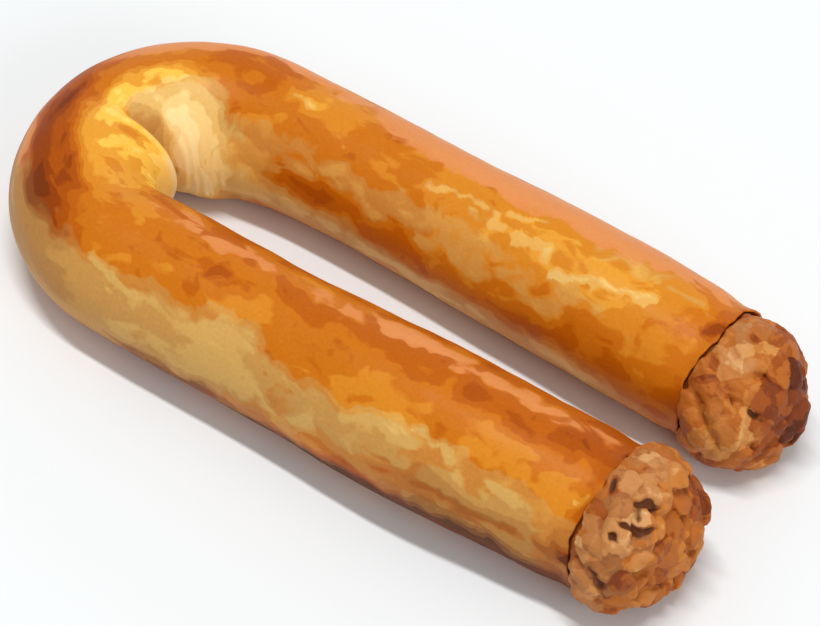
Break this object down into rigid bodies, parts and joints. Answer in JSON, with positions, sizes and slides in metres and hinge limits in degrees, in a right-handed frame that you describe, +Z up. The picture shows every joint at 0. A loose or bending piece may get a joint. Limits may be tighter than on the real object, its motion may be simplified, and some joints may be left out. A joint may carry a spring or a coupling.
{
  "type": "bent sausage",
  "caption": "Thick smoked sausage bent double into a long U in a thin casing, cut square at both ends, with coarse ground meat swelling out of the cuts.",
  "frame": {"origin": "middle of the base, on the plane that the sausage lies on", "axes": "+X runs along both legs towards the cut ends, +Y from the near leg to the far leg, +Z up"},
  "size_m": [0.1948, 0.0889, 0.0375],
  "materials": {
    "casing": "satin",
    "meat": "rough"
  },
  "bodies": {
    "root": {"casing": "casing", "filling": "meat"}
  },
  "joints": []
}
